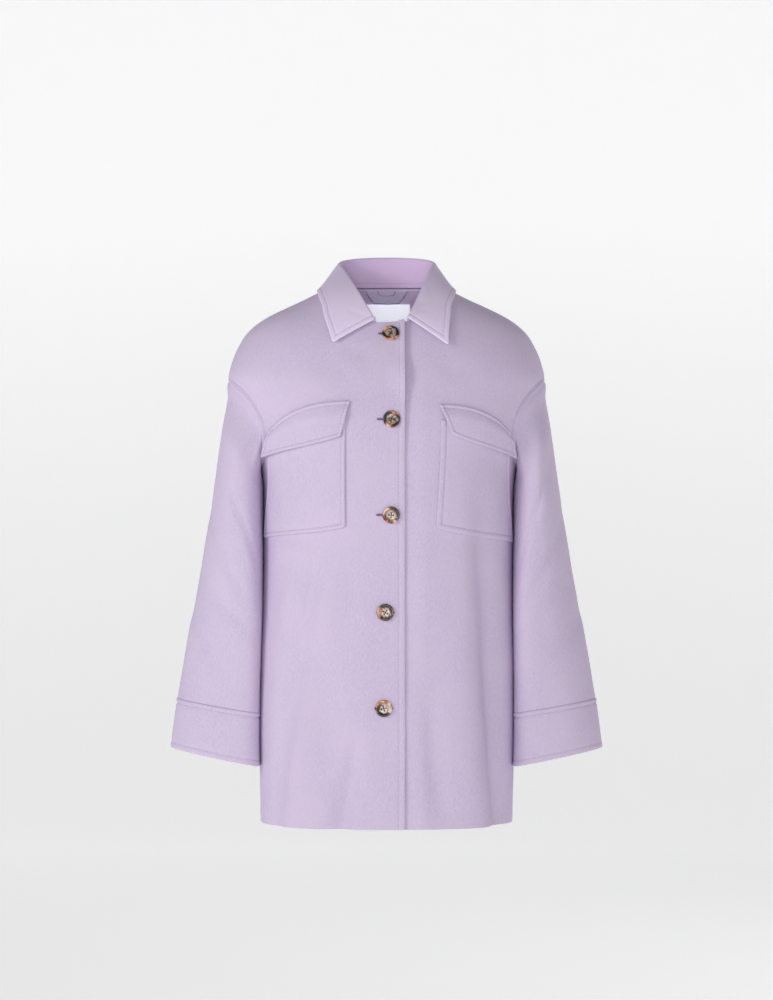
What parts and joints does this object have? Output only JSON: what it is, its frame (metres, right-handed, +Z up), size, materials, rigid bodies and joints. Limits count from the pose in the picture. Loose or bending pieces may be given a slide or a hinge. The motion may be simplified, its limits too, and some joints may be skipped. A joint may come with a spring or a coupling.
{
  "type": "buttoned wool shacket, filled out with no wearer",
  "caption": "Loose hip-length wool shirt jacket with pointed collar, flapped chest pockets, dropped sleeves with deep cuffs and a buttoned lapped front.",
  "frame": {"origin": "the middle of the neck's base, where the wearer carries the jacket", "axes": "+Z up along the body, -Y the way the front faces, +X the wearer's left"},
  "size_m": [0.599, 0.283, 0.7812],
  "materials": {
    "lilac_wool": "brushed melton wool in pale lilac, short soft nap",
    "satin_ribbon": "grey-lilac satin ribbon",
    "white_label": "blank white satin label",
    "horn_effect": "polished horn-effect resin, dark rim with brown and cream mottling"
  },
  "bodies": {
    "root": {"right_front": "lilac_wool", "left_front": "lilac_wool", "back": "lilac_wool", "right_sleeve": "lilac_wool", "left_sleeve": "lilac_wool", "right_cuff": "lilac_wool", "left_cuff": "lilac_wool", "collar": "lilac_wool", "right_pocket": "lilac_wool", "left_pocket": "lilac_wool", "right_pocket_flap": "lilac_wool", "left_pocket_flap": "lilac_wool", "back_neck_facing": "lilac_wool", "hanger_loop": "satin_ribbon", "neck_label": "white_label", "button_1": "horn_effect", "button_2": "horn_effect", "button_3": "horn_effect", "button_4": "horn_effect", "button_5": "horn_effect"}
  },
  "joints": []
}
